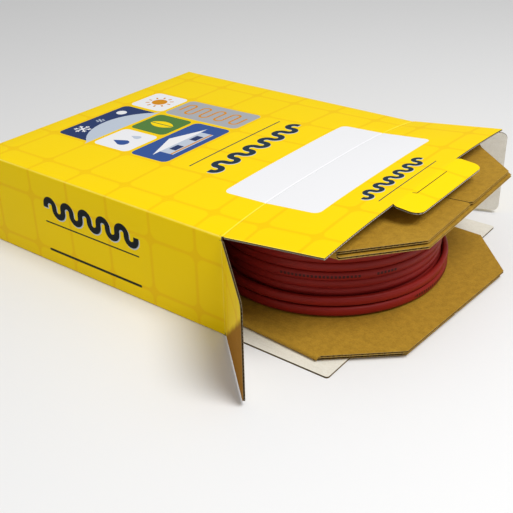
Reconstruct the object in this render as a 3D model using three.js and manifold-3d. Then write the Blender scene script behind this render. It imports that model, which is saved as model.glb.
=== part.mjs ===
// A cardboard reel of heating cable, half drawn out of its open shipping carton.
// Millimetres, +Z up. The origin is the centre of the carton's underside, the open end faces +X,
// and the near side, where the reel is seen from, is -Y.

import * as THREE from 'three';
import { mergeVertices } from 'three/addons/utils/BufferGeometryUtils.js';
import Module from 'manifold-3d';

const wasm = await Module();
wasm.setup();

// Carton: a folded sleeve of thin corrugated board
const CARTON_LENGTH = 295;
const CARTON_WIDTH = 300;
const CARTON_HEIGHT = 90;
const BOARD = 1.6;
const CLEARANCE = 0.3; // between neighbouring pieces
const CREASE_GAP = 0.9; // between the top wall and its flap
const TOP_BOW = 8.3; // rise of the top wall's crease in its middle, none at the closed end

// Flaps of the open end, with the angle that each stands away from its wall's own plane
const TOP_FLAP_LENGTH = 93;
const TOP_FLAP_RISE = 7.1;
const TOP_FLAP_EDGE_BOW = 4.5; // rise of the flap's free edge in its middle
const BOTTOM_FLAP_LENGTH = 97;
const BOTTOM_FLAP_INSET = 0.5;
const DUST_FLAP_LENGTH = 92;
const DUST_FLAP_INSET = 3.5; // short of the crease above and below
const DUST_FLAP_CORNER = 6;
const NEAR_DUST_FLAP_SWING = 43;
const FAR_DUST_FLAP_SWING = 20;

// Tuck tab beyond the top flap's free edge, with a locking slit near its root
const TAB_LENGTH = 24;
const TAB_ROOT_WIDTH = 108;
const TAB_FLARE = 2; // on each side, from its root to its full width
const TAB_FLARE_LENGTH = 4;
const TAB_CORNER = 9;
const TAB_DROOP = 12; // below the flap's own slope
const TAB_GAP = 0.5; // between the flap's free edge and the tab
const TAB_OFFSET = -2; // to the near side of the flap's middle
const SLIT_LENGTH = 52;
const SLIT_WIDTH = 0.8;
const SLIT_FROM_ROOT = 5;

// Reel flanges: octagons of heavier board, doubled by two wings that fold over and meet in a seam
const FLANGE_SIZE = 256;
const FLANGE_CHAMFER = 50;
const FLANGE_BOARD = 2.6;
const FOLD_GAP = 0.4;
const SEAM_WIDTH = 1.2;
const REEL_OUT = 1; // reel axis beyond the carton's mouth
const REEL_OFFSET = -2; // reel axis to the near side of the carton's middle
const LOWER_FLANGE_SHIFT = [8.8, -4.4];
const LOWER_FLANGE_YAW = -3.7;
const UPPER_FLANGE_SHIFT = [2.6, 6.3];
const UPPER_FLANGE_YAW = 1;
const UPPER_FLANGE_TILT = 3.05;

// Cable: a flat oval, wound in layers on a tube; the outermost layer is only begun
const CABLE_WIDTH = 8.3;
const CABLE_THICKNESS = 5.4;
const REEL_HEADROOM = 8.3; // above the reel where it lies lowest, under the carton's top
const LAYERS = 11;
const OUTER_LAYER_TURNS = 2;
const COIL_RADIUS = 107;
const TURN_GROOVE = 1.5;
const TURN_CREST = 0.5; // share of a turn's width that is flat
const COIL_SEGMENTS = 40;
const CORE_WALL = 4;

// Places worked out from the sizes above
const radians = THREE.MathUtils.degToRad;
const MOUTH = CARTON_LENGTH / 2;
const SLEEVE_REAR = -CARTON_LENGTH / 2 + 2 * (BOARD + CLEARANCE);
const HALF_WIDTH = CARTON_WIDTH / 2;
const BOW_STEPS_X = 4;
const BOW_STEPS_Y = 12;
const TOP_FLAP_END = MOUTH + TOP_FLAP_LENGTH * Math.cos(radians(TOP_FLAP_RISE));
const FLANGE_THICKNESS = 2 * FLANGE_BOARD + FOLD_GAP;
const REEL_X = MOUTH + REEL_OUT;
const LOWER_FLANGE_BOTTOM = BOARD + CLEARANCE;
const COIL_BOTTOM = LOWER_FLANGE_BOTTOM + FLANGE_THICKNESS + CLEARANCE;
const COIL_HEIGHT =
  CARTON_HEIGHT - 2 * BOARD - 2 * FLANGE_THICKNESS - 3 * CLEARANCE - REEL_HEADROOM;
const TURNS_PER_LAYER = Math.max(OUTER_LAYER_TURNS + 1, Math.round(COIL_HEIGHT / CABLE_WIDTH));
const TURN_PITCH = COIL_HEIGHT / TURNS_PER_LAYER;
const FULL_LAYER_RADIUS = COIL_RADIUS - CABLE_THICKNESS;
const BORE_RADIUS = COIL_RADIUS - LAYERS * CABLE_THICKNESS;

// Materials
const printedBoard = new THREE.MeshStandardMaterial({ color: 0xf0d000, roughness: 0.55, metalness: 0 });
const whiteBoard = new THREE.MeshStandardMaterial({ color: 0xe8e4d8, roughness: 0.85, metalness: 0 });
const kraftBoard = new THREE.MeshStandardMaterial({ color: 0xa07828, roughness: 0.9, metalness: 0 });
const cableJacket = new THREE.MeshStandardMaterial({ color: 0x7a2020, roughness: 0.5, metalness: 0 });

// Booleans
function toSolid(geometry) {
  const bare = geometry.clone();
  bare.deleteAttribute('normal');
  bare.deleteAttribute('uv');
  const merged = mergeVertices(bare, 1e-4);
  const vertProperties = new Float32Array(merged.attributes.position.array);
  const triVerts = new Uint32Array(merged.index.array);
  return new wasm.Manifold(new wasm.Mesh({ numProp: 3, vertProperties, triVerts }));
}

function toGeometry(solid) {
  const mesh = solid.getMesh();
  const geometry = new THREE.BufferGeometry();
  geometry.setAttribute('position', new THREE.BufferAttribute(mesh.vertProperties, 3));
  geometry.setIndex(new THREE.BufferAttribute(mesh.triVerts, 1));
  return geometry;
}

// Shapes
function box(low, high) {
  const size = high.map((value, i) => value - low[i]);
  const geometry = new THREE.BoxGeometry(...size);
  geometry.translate(...low.map((value, i) => value + size[i] / 2));
  return geometry;
}

function polygon(points) {
  return new THREE.Shape(points.map(([x, y]) => new THREE.Vector2(x, y)));
}

function plate(shape, bottom, thickness) {
  const geometry = new THREE.ExtrudeGeometry(shape, {
    depth: thickness,
    bevelEnabled: false,
    curveSegments: 4,
  });
  geometry.translate(0, 0, bottom);
  return geometry;
}

// Stands a plate drawn in y and z up, so that it is thick along x
const uprightAlongX = new THREE.Matrix4().set(0, 0, 1, 0, 1, 0, 0, 0, 0, 1, 0, 0, 0, 0, 0, 1);

// A closed outline in y and z, extruded along x from start to end
function extrudeAlongX(points, start, end) {
  return plate(polygon(points), start, end - start).applyMatrix4(uprightAlongX);
}

// A closed outline in x and z, extruded along y across the carton's width
function extrudeAcross(points, halfWidth) {
  const geometry = plate(polygon(points), -halfWidth, 2 * halfWidth);
  geometry.rotateX(Math.PI / 2);
  return geometry;
}

function named(name, geometry, material) {
  const mesh = new THREE.Mesh(geometry, material);
  mesh.name = name;
  return mesh;
}

// Carton
// The share of the bow at a place across the carton: flat in the middle, steep at both side walls
function bowAcross(y) {
  return 1 - Math.abs(y / HALF_WIDTH) ** 3;
}

function topWallHeight(x, y) {
  const fromRear = (x - SLEEVE_REAR) / (MOUTH - SLEEVE_REAR);
  return CARTON_HEIGHT + TOP_BOW * bowAcross(y) * fromRear ** 2;
}

function topFlapHeight(x, y) {
  const bow = THREE.MathUtils.mapLinear(x, MOUTH, TOP_FLAP_END, TOP_BOW, TOP_FLAP_EDGE_BOW);
  return CARTON_HEIGHT + (x - MOUTH) * Math.tan(radians(TOP_FLAP_RISE)) + bow * bowAcross(y);
}

// A sheet of board across the carton's width, whose upper side follows height(x, y)
function bowedSheet(startX, endX, height) {
  const position = [];
  for (const drop of [0, BOARD]) {
    for (let i = 0; i <= BOW_STEPS_X; i += 1) {
      const x = THREE.MathUtils.lerp(startX, endX, i / BOW_STEPS_X);
      for (let j = 0; j <= BOW_STEPS_Y; j += 1) {
        const y = THREE.MathUtils.lerp(-HALF_WIDTH, HALF_WIDTH, j / BOW_STEPS_Y);
        position.push(x, y, height(x, y) - drop);
      }
    }
  }
  const row = BOW_STEPS_Y + 1;
  const below = row * (BOW_STEPS_X + 1);
  const index = [];
  const quad = (a, b, c, d) => index.push(a, b, c, a, c, d);
  for (let i = 0; i < BOW_STEPS_X; i += 1) {
    for (let j = 0; j < BOW_STEPS_Y; j += 1) {
      const a = i * row + j;
      quad(a, a + row, a + row + 1, a + 1);
      quad(below + a, below + a + 1, below + a + row + 1, below + a + row);
    }
    const near = i * row;
    const far = near + BOW_STEPS_Y;
    quad(near, near + below, near + row + below, near + row);
    quad(far, far + row, far + row + below, far + below);
  }
  const last = BOW_STEPS_X * row;
  for (let j = 0; j < BOW_STEPS_Y; j += 1) {
    quad(j, j + 1, j + 1 + below, j + below);
    quad(last + j, last + j + below, last + j + 1 + below, last + j + 1);
  }
  const geometry = new THREE.BufferGeometry();
  geometry.setAttribute('position', new THREE.Float32BufferAttribute(position, 3));
  geometry.setIndex(index);
  return geometry;
}

// The sleeve's outline in y and z at a place x, drawn inset from its outer faces
function sleeveOutline(x, inset) {
  const side = HALF_WIDTH - inset;
  const points = [[-side, inset], [side, inset]];
  for (let j = BOW_STEPS_Y; j >= 0; j -= 1) {
    const y = THREE.MathUtils.lerp(-side, side, j / BOW_STEPS_Y);
    points.push([y, topWallHeight(x, y) - inset]);
  }
  return points;
}

// Four walls of one folded sheet, open at both ends, with the outer faces first and the inner ones after
function cartonSleeve() {
  const position = [];
  for (const inset of [0, BOARD]) {
    for (let i = 0; i <= BOW_STEPS_X; i += 1) {
      const x = THREE.MathUtils.lerp(SLEEVE_REAR, MOUTH, i / BOW_STEPS_X);
      for (const [y, z] of sleeveOutline(x, inset)) position.push(x, y, z);
    }
  }
  const count = BOW_STEPS_Y + 3;
  const inside = count * (BOW_STEPS_X + 1);
  const last = count * BOW_STEPS_X;
  const index = [];
  const quad = (a, b, c, d) => index.push(a, b, c, a, c, d);
  for (let j = 0; j < count; j += 1) {
    const next = (j + 1) % count;
    for (let i = 0; i < BOW_STEPS_X; i += 1) {
      const row = i * count;
      quad(row + j, row + next, row + count + next, row + count + j);
      quad(inside + row + j, inside + row + count + j, inside + row + count + next, inside + row + next);
    }
    quad(j, inside + j, inside + next, next);
    quad(last + j, last + next, inside + last + next, inside + last + j);
  }
  const geometry = new THREE.BufferGeometry();
  geometry.setAttribute('position', new THREE.Float32BufferAttribute(position, 3));
  geometry.setIndex(index);
  return named('carton_sleeve', geometry, printedBoard);
}

// The closed end is glued: both dust flaps inside, then the bottom flap, then the top flap outside
function rearFlaps() {
  const outside = -CARTON_LENGTH / 2;
  const topFlap = extrudeAcross(
    [
      [outside, 0],
      [outside + BOARD, 0],
      [outside + BOARD, CARTON_HEIGHT - BOARD],
      [SLEEVE_REAR - CLEARANCE, CARTON_HEIGHT - BOARD],
      [SLEEVE_REAR - CLEARANCE, CARTON_HEIGHT],
      [outside, CARTON_HEIGHT],
    ],
    HALF_WIDTH,
  );
  const bottomFlap = box(
    [outside + BOARD + CLEARANCE, -HALF_WIDTH + 1, 0],
    [outside + 2 * BOARD + CLEARANCE, HALF_WIDTH - 1, CARTON_HEIGHT - BOARD - CLEARANCE],
  );
  const flaps = [
    named('rear_top_flap', topFlap, printedBoard),
    named('rear_bottom_flap', bottomFlap, printedBoard),
  ];
  const root = HALF_WIDTH - BOARD - CLEARANCE;
  const tip = root - DUST_FLAP_LENGTH;
  for (const [side, low, high] of [['near', -root, -tip], ['far', tip, root]]) {
    const flap = box(
      [SLEEVE_REAR, low, DUST_FLAP_INSET],
      [SLEEVE_REAR + BOARD, high, CARTON_HEIGHT - DUST_FLAP_INSET],
    );
    flaps.push(named(`rear_dust_flap_${side}`, flap, whiteBoard));
  }
  return flaps;
}

function bottomFlap() {
  const halfWidth = HALF_WIDTH - BOTTOM_FLAP_INSET;
  const flap = box([MOUTH + CLEARANCE, -halfWidth, 0], [MOUTH + BOTTOM_FLAP_LENGTH, halfWidth, BOARD]);
  return named('bottom_flap', flap, whiteBoard);
}

// A dust flap is drawn in x and z from its crease, with its free corners rounded
function dustFlapOutline() {
  const low = DUST_FLAP_INSET;
  const high = CARTON_HEIGHT - DUST_FLAP_INSET;
  const shape = new THREE.Shape();
  shape.moveTo(CLEARANCE, low);
  shape.lineTo(DUST_FLAP_LENGTH - DUST_FLAP_CORNER, low);
  shape.quadraticCurveTo(DUST_FLAP_LENGTH, low, DUST_FLAP_LENGTH, low + DUST_FLAP_CORNER);
  shape.lineTo(DUST_FLAP_LENGTH, high - DUST_FLAP_CORNER);
  shape.quadraticCurveTo(DUST_FLAP_LENGTH, high, DUST_FLAP_LENGTH - DUST_FLAP_CORNER, high);
  shape.lineTo(CLEARANCE, high);
  shape.closePath();
  return shape;
}

// side is -1 for the near wall and +1 for the far one; swing turns the free edge outwards
function dustFlap(name, side, swing) {
  const geometry = plate(dustFlapOutline(), side < 0 ? -BOARD : 0, BOARD);
  geometry.rotateX(Math.PI / 2);
  const flap = named(name, geometry, whiteBoard);
  const hinge = new THREE.Group();
  hinge.position.set(MOUTH, side * HALF_WIDTH, 0);
  hinge.rotation.z = radians(side * swing);
  hinge.add(flap);
  return hinge;
}

function tabShape() {
  const start = TAB_GAP;
  const flared = TAB_GAP + TAB_FLARE_LENGTH;
  const end = TAB_LENGTH;
  const root = TAB_ROOT_WIDTH / 2;
  const side = root + TAB_FLARE;
  const shape = new THREE.Shape();
  shape.moveTo(start, -root);
  shape.lineTo(flared, -side);
  shape.lineTo(end - TAB_CORNER, -side);
  shape.quadraticCurveTo(end, -side, end, -side + TAB_CORNER);
  shape.lineTo(end, side - TAB_CORNER);
  shape.quadraticCurveTo(end, side, end - TAB_CORNER, side);
  shape.lineTo(flared, side);
  shape.lineTo(start, root);
  shape.closePath();
  const slit = start + SLIT_FROM_ROOT;
  shape.holes.push(
    polygon([
      [slit, -SLIT_LENGTH / 2],
      [slit, SLIT_LENGTH / 2],
      [slit + SLIT_WIDTH, SLIT_LENGTH / 2],
      [slit + SLIT_WIDTH, -SLIT_LENGTH / 2],
    ]),
  );
  return shape;
}

function topFlap() {
  const panel = bowedSheet(MOUTH + CREASE_GAP, TOP_FLAP_END, topFlapHeight);
  return named('top_flap', panel, printedBoard);
}

// The tab stands off the raised middle of the flap's free edge and droops below the flap's slope
function tuckTab() {
  const tab = named('tuck_tab', plate(tabShape(), -BOARD, BOARD), printedBoard);
  tab.position.set(TOP_FLAP_END, TAB_OFFSET, topFlapHeight(TOP_FLAP_END, 0));
  tab.rotation.y = radians(TAB_DROOP - TOP_FLAP_RISE);
  return tab;
}

// Reel
// One sheet: a full octagon below, and two wings folded over it that meet above its middle
function foldedFlange() {
  const half = FLANGE_SIZE / 2;
  const inner = half - FLANGE_BOARD;
  const seam = SEAM_WIDTH / 2;
  const gapLow = FLANGE_BOARD;
  const gapHigh = FLANGE_BOARD + FOLD_GAP;
  const fold = extrudeAlongX(
    [
      [-half, 0],
      [half, 0],
      [half, FLANGE_THICKNESS],
      [seam, FLANGE_THICKNESS],
      [seam, gapHigh],
      [inner, gapHigh],
      [inner, gapLow],
      [-inner, gapLow],
      [-inner, gapHigh],
      [-seam, gapHigh],
      [-seam, FLANGE_THICKNESS],
      [-half, FLANGE_THICKNESS],
    ],
    -half,
    half,
  );
  const straight = half - FLANGE_CHAMFER;
  const octagon = plate(
    polygon([
      [-half, -straight],
      [-straight, -half - 1],
      [straight, -half - 1],
      [half, -straight],
      [half, straight],
      [straight, half + 1],
      [-straight, half + 1],
      [-half, straight],
    ]),
    -1,
    FLANGE_THICKNESS + 2,
  );
  return toGeometry(toSolid(fold).intersect(toSolid(octagon)));
}

// The wings of the lower flange are underneath, so it is the same sheet turned over
function lowerFlange() {
  const flange = named('lower_flange', foldedFlange(), kraftBoard);
  flange.position.set(
    REEL_X + LOWER_FLANGE_SHIFT[0],
    REEL_OFFSET + LOWER_FLANGE_SHIFT[1],
    LOWER_FLANGE_BOTTOM + FLANGE_THICKNESS,
  );
  flange.rotation.set(Math.PI, 0, radians(LOWER_FLANGE_YAW), 'ZYX');
  return flange;
}

// The upper flange rests on the rim of the coil inside the carton and rises towards the open end
const upperPivot = new THREE.Vector3(
  REEL_X - FULL_LAYER_RADIUS,
  REEL_OFFSET,
  COIL_BOTTOM + COIL_HEIGHT + CLEARANCE,
);

function upperFlangeHeight(x) {
  return upperPivot.z + (x - upperPivot.x) * Math.tan(radians(UPPER_FLANGE_TILT));
}

function upperFlange() {
  const flange = named('upper_flange', foldedFlange(), kraftBoard);
  const x = REEL_X + UPPER_FLANGE_SHIFT[0];
  flange.position.set(x, REEL_OFFSET + UPPER_FLANGE_SHIFT[1], upperFlangeHeight(x));
  flange.rotation.set(0, radians(-UPPER_FLANGE_TILT), radians(UPPER_FLANGE_YAW), 'YZX');
  return flange;
}

// A cardboard tube whose top is cut to the slope of the upper flange
function coreTube() {
  const outer = BORE_RADIUS - CLEARANCE;
  const inner = outer - CORE_WALL;
  const top = upperFlangeHeight(REEL_X + outer);
  const profile = [
    [inner, COIL_BOTTOM],
    [outer, COIL_BOTTOM],
    [outer, top],
    [inner, top],
    [inner, COIL_BOTTOM],
  ].map(([r, z]) => new THREE.Vector2(r, z));
  const tube = new THREE.LatheGeometry(profile, COIL_SEGMENTS);
  tube.rotateX(Math.PI / 2);
  const cutter = box([-2 * outer, -2 * outer, -CLEARANCE], [2 * outer, 2 * outer, COIL_HEIGHT]);
  cutter.rotateY(radians(-UPPER_FLANGE_TILT));
  cutter.translate(0, 0, upperFlangeHeight(REEL_X));
  const mesh = named('core_tube', toGeometry(toSolid(tube).subtract(toSolid(cutter))), kraftBoard);
  mesh.position.set(REEL_X, REEL_OFFSET, 0);
  return mesh;
}

// One turned solid. Its outside shows the turns, its ends show the edges of the layers
function cableCoil() {
  const points = [];
  const crest = (1 - TURN_CREST) / 2;
  const bottom = COIL_BOTTOM;
  const top = COIL_BOTTOM + COIL_HEIGHT;
  const layerEdge = (layer) => BORE_RADIUS + layer * CABLE_THICKNESS;
  const turnEdge = (turn) => bottom + turn * TURN_PITCH;

  points.push([BORE_RADIUS, bottom + TURN_GROOVE]);
  for (let layer = 0; layer < LAYERS; layer += 1) {
    points.push([layerEdge(layer + crest), bottom]);
    points.push([layerEdge(layer + 1 - crest), bottom]);
    if (layer < LAYERS - 1) points.push([layerEdge(layer + 1), bottom + TURN_GROOVE]);
  }
  for (let turn = 0; turn < TURNS_PER_LAYER; turn += 1) {
    const radius = turn < OUTER_LAYER_TURNS ? COIL_RADIUS : FULL_LAYER_RADIUS;
    points.push([radius, turnEdge(turn + crest)]);
    points.push([radius, turnEdge(turn + 1 - crest)]);
    if (turn < TURNS_PER_LAYER - 1) points.push([radius - TURN_GROOVE, turnEdge(turn + 1)]);
  }
  for (let layer = LAYERS - 1; layer > 0; layer -= 1) {
    points.push([layerEdge(layer - crest), top]);
    points.push([layerEdge(layer - 1 + crest), top]);
    points.push([layerEdge(layer - 1), top - TURN_GROOVE]);
  }
  points.push(points[0]);

  const profile = points.map(([r, z]) => new THREE.Vector2(r, z));
  const geometry = new THREE.LatheGeometry(profile, COIL_SEGMENTS);
  geometry.rotateX(Math.PI / 2);
  const coil = named('cable_coil', geometry, cableJacket);
  coil.position.set(REEL_X, REEL_OFFSET, 0);
  return coil;
}

const model = new THREE.Group();
model.add(
  cartonSleeve(),
  ...rearFlaps(),
  bottomFlap(),
  topFlap(),
  tuckTab(),
  dustFlap('dust_flap_near', -1, NEAR_DUST_FLAP_SWING),
  dustFlap('dust_flap_far', 1, FAR_DUST_FLAP_SWING),
  lowerFlange(),
  upperFlange(),
  coreTube(),
  cableCoil(),
);

export default model;
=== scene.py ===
"""Looks of a cardboard reel of heating cable, half drawn out of its open corrugated carton.

Lengths are millimetres until a mesh is made, and metres in the materials and for the stage.
x, y and z are the frame's own axes.
The carton's print is laid out on its unfolded blank: u runs along the carton, from the closed end
over the mouth into the flaps, and s runs round its four walls, 0 in the middle of the top wall.
"""

import math

import bmesh
import bpy
import numpy as np
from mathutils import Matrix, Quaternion, Vector
from mathutils.geometry import delaunay_2d_cdt


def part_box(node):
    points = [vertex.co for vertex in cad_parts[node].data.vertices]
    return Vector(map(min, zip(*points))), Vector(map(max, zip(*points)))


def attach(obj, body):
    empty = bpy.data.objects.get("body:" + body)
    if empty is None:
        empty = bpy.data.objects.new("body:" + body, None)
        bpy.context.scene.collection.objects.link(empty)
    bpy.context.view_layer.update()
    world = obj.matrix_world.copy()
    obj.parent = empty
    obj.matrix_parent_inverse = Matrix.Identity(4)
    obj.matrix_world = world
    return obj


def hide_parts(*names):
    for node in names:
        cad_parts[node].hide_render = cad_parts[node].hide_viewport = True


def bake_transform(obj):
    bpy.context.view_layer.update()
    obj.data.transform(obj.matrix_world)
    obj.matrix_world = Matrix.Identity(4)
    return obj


MM = 0.001

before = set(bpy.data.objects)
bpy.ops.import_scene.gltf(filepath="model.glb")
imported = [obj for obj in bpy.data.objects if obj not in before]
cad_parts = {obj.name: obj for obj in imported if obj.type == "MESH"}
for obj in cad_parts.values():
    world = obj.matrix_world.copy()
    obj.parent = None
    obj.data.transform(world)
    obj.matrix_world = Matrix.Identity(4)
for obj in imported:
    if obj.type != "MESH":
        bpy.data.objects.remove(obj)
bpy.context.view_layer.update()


def node_box(name):
    """The lowest and highest corners of a CAD node in millimetres."""
    low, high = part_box(name)
    return Vector(low) / MM, Vector(high) / MM


# Carton, read from the frame
SLEEVE_LOW, SLEEVE_HIGH = node_box("carton_sleeve")
REAR_LOW, REAR_HIGH = node_box("rear_top_flap")
REAR = REAR_LOW.x
SLEEVE_REAR = SLEEVE_LOW.x
MOUTH = SLEEVE_HIGH.x
HALF_WIDTH = SLEEVE_HIGH.y
HEIGHT = REAR_HIGH.z
TOP_BOW = SLEEVE_HIGH.z - HEIGHT
BOTTOM_FLAP_END, BOTTOM_FLAP_HALF, BOARD = node_box("bottom_flap")[1]
TOP_FLAP_END = node_box("top_flap")[1].x

# Carton, sizes that the frame's boxes don't give
TOP_FLAP_DEGREES = 7.1
TOP_FLAP_RISE = math.radians(TOP_FLAP_DEGREES)
TOP_FLAP_EDGE_BOW = 4.5
DUST_FLAP_LENGTH = 92
DUST_FLAP_LOW = 3.5
DUST_FLAP_HIGH = 86.5
DUST_FLAP_CORNER = 6
NEAR_DUST_FLAP_SWING = math.radians(43)
FAR_DUST_FLAP_SWING = math.radians(20)
TAB_LENGTH = 24
TAB_ROOT_HALF = 54
TAB_FLARE = 2
TAB_FLARE_LENGTH = 4
TAB_CORNER = 9
TAB_OFFSET = -2
TAB_DROOP_DEGREES = 12
TAB_SLOPE = math.radians(TOP_FLAP_DEGREES - TAB_DROOP_DEGREES)
SLIT_LENGTH = 52
SLIT_WIDTH = 0.8
SLIT_FROM_ROOT = 5
FOLD_RADIUS = 1.9
CREASE_HALF = 2.5
TAB_CREASE_HALF = 1.2
CREASE_DEPTH = 0.4
TAB_CREASE_DEPTH = 0.06
GROOVE_SHARE = 0.13
BOTTOM_CREASE_WIDTH = 1.2
BOTTOM_FLAP_CORNER = 2.5
MOUTH_LIP = 0.4
MOUTH_LIP_GAP = 0.2
MOUTH_LIP_TOP_GAP = 0.6
MOUTH_LIP_FOLD = 0.4
REAR_FLAP_SIDE_GAP = 0.4
REAR_FLAP_END_GAP = 0.3
TOP_FLAP_SIDE_GAP = 0.1
TOP_CREASE_SIDE_GAP = 0.8
TAB_CREASE_SIDE_GAP = 0.1

# Corrugated board
LINER = 0.28
MEDIUM = 0.22
FLUTE_PITCH = 3.1
FLUTE_STEPS = 8
FLUTE_ROOT_INSET = 0.1
FLUTE_TIP_INSET = 0.15
FLUTE_SIDE_INSET = 0.2
DUST_FLAP_FLUTE_INSET = 0.3

# Reel
REEL_X = 148.5
REEL_Y = -2
FLANGE_HALF = 128
FLANGE_CHAMFER = 50
FLANGE_THICKNESS = 5.6
FLANGE_BOARD = 1.9
FLANGE_FOLD_RADIUS = FLANGE_THICKNESS / 2
WING_INSET = 1.8
SEAM_HALF = 0.6
SEAM_NOTCH = 2.6
LOWER_FLANGE_PLACE = (157.3, -6.4, 7.5)
LOWER_FLANGE_YAW = math.radians(-3.7)
UPPER_FLANGE_PLACE = (151.1, 4.3, 80.05)
UPPER_FLANGE_YAW = math.radians(1)
UPPER_FLANGE_TILT = math.radians(3.05)

# Cable
CABLE_WIDTH = 8.3
CABLE_THICKNESS = 5.4
CABLE_CLEARANCE = 0.1
CABLE_SQUARENESS = 2.7
COIL_BOTTOM = 7.8
BORE_RADIUS = 47.6
LAYERS = 11
TURNS = 8
OUTER_TURNS = 2
SECTION_POINTS = 14
INNER_STEPS = 44
OUTER_STEPS = 100
FINE_LAYERS = 3
CROSSOVER = math.radians(26)
FULL_LAYER_TURNS = [12.0, 20.4, 28.4, 35.6, 43.4, 51.6, 59.6, 68.3]
OUTERMOST_TURNS = [13.4, 22.9]
FULL_LAYER_RECESS = [0, 0.4, 1.2, 0.9, -0.3, 0.2, -0.2, 0]
SWAY_WAVES = [(0.22, 1, 1.7), (0.12, 3, 2.3)]
SWAY_MOST = 0.34
LIFT_WAVES = [(0.18, 2, 0.9)]
UNMARKED = 50

# Print, whose ground is a grid of rounded squares
GROUND_PITCH_U = 49.0
GROUND_PITCH_S = 49.9
GROUND_NODE_U = 22.3
GROUND_NODE_S = -125.6
TILE = 45
TILE_CORNER = 6
LABEL_CORNER = 6
EMBLEM_STROKE = 6.2
EMBLEM_EDGE = 0.9


def lerp(a, b, t):
    return a + (b - a) * t


def bow_across(y):
    return 1 - min(1, abs(y / HALF_WIDTH)) ** 3


# Places on the folded blank
WALL_CORNERS = [
    (-HALF_WIDTH * 3 - HEIGHT, (HALF_WIDTH, 0), (0, 1)),
    (-HALF_WIDTH - HEIGHT, (-HALF_WIDTH, 0), (1, 0)),
    (-HALF_WIDTH, (-HALF_WIDTH, HEIGHT), (0, -1)),
    (HALF_WIDTH, (HALF_WIDTH, HEIGHT), (-1, 0)),
    (HALF_WIDTH + HEIGHT, (HALF_WIDTH, 0), (0, 1)),
]
BLANK_START = WALL_CORNERS[0][0]
BLANK_END = WALL_CORNERS[-1][0]


def section_place(s, depth):
    """y and z of the sleeve's wall at s, depth below its outer face, with rounded folds."""
    for k, (corner_s, (cy, cz), inward) in enumerate(WALL_CORNERS):
        if abs(s - corner_s) < FOLD_RADIUS:
            before = WALL_CORNERS[k - 1][2] if k else WALL_CORNERS[-2][2]
            angle = (s - corner_s + FOLD_RADIUS) / (2 * FOLD_RADIUS) * math.pi / 2
            reach = FOLD_RADIUS - depth
            y = cy + FOLD_RADIUS * (before[0] + inward[0])
            z = cz + FOLD_RADIUS * (before[1] + inward[1])
            y -= reach * (before[0] * math.cos(angle) + inward[0] * math.sin(angle))
            z -= reach * (before[1] * math.cos(angle) + inward[1] * math.sin(angle))
            return y, z
    for k in range(len(WALL_CORNERS) - 1):
        start, (sy, sz), inward = WALL_CORNERS[k]
        end, (ey, ez), _ = WALL_CORNERS[k + 1]
        if start <= s <= end:
            t = (s - start) / (end - start)
            return lerp(sy, ey, t) + inward[0] * depth, lerp(sz, ez, t) + inward[1] * depth
    raise ValueError(s)


def sleeve_place(u, s, depth):
    """The sleeve and, past its rear edge, the top flap of the closed end."""
    y, z = section_place(s, depth)
    if abs(s) <= HALF_WIDTH + FOLD_RADIUS:
        share = max(0, (u - SLEEVE_REAR) / (MOUTH - SLEEVE_REAR))
        z += TOP_BOW * bow_across(y) * share**2
    bend = REAR + FOLD_RADIUS
    if u >= bend:
        return u, y, z
    angle = min(math.pi / 2, (bend - u) / FOLD_RADIUS)
    x = bend - (FOLD_RADIUS - depth) * math.sin(angle)
    z = HEIGHT - FOLD_RADIUS + (FOLD_RADIUS - depth) * math.cos(angle)
    return x, y, z - max(0, bend - u - FOLD_RADIUS * math.pi / 2)


def top_flap_place(u, s, depth):
    along = u - MOUTH
    flap = TOP_FLAP_END - MOUTH
    x = MOUTH + along * math.cos(TOP_FLAP_RISE)
    bow = lerp(TOP_BOW, TOP_FLAP_EDGE_BOW, (x - MOUTH) / flap)
    return x, s, HEIGHT + along * math.sin(TOP_FLAP_RISE) + bow * bow_across(s) - depth


TOP_FLAP_END_U = MOUTH + (TOP_FLAP_END - MOUTH) / math.cos(TOP_FLAP_RISE)


def tab_place(u, s, depth):
    """The tab is flat and droops from the height of the middle of the flap's free edge."""
    along = u - TOP_FLAP_END_U
    _, _, z = top_flap_place(TOP_FLAP_END_U, 0, 0)
    x = TOP_FLAP_END + along * math.cos(TAB_SLOPE) + depth * math.sin(TAB_SLOPE)
    return x, s, z + along * math.sin(TAB_SLOPE) - depth * math.cos(TAB_SLOPE)


def bottom_flap_place(u, s, depth):
    """It lies flat under the reel, with its crease as a groove on the inside."""
    y = -(s - BLANK_START) + HALF_WIDTH
    dip = CREASE_DEPTH * math.exp(-(((u - MOUTH) / BOTTOM_CREASE_WIDTH) ** 2))
    return u, y, depth - dip * depth / BOARD


def dust_flap_place(side, swing):
    """side is -1 for the near wall and +1 for the far one; s is the blank's, past the top wall."""
    def place(u, s, depth):
        along = u - MOUTH
        x = MOUTH + along * math.cos(swing) + depth * math.sin(swing)
        y = HALF_WIDTH + along * math.sin(swing) - depth * math.cos(swing)
        return x, side * y, HEIGHT + HALF_WIDTH - abs(s)
    return place


def crease_place(before, after, middle, half, groove):
    """A fold from one place function to another, rounded, with a shallow groove along its line."""
    def place(u, s, depth):
        t = (u - middle + half) / (2 * half)
        a = Vector(before(middle - half, s, depth))
        b = (Vector(before(middle, s, depth)) + Vector(after(middle, s, depth))) / 2
        c = Vector(after(middle + half, s, depth))
        point = a * (1 - t) ** 2 + b * 2 * t * (1 - t) + c * t**2
        if groove:
            outer = Vector(before(middle, s, 0))
            inner = Vector(before(middle, s, BOARD))
            dip = groove * math.exp(-(((t - 0.5) / GROOVE_SHARE) ** 2)) * (1 - depth / BOARD)
            point += (inner - outer).normalized() * dip
        return tuple(point)
    return place


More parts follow.
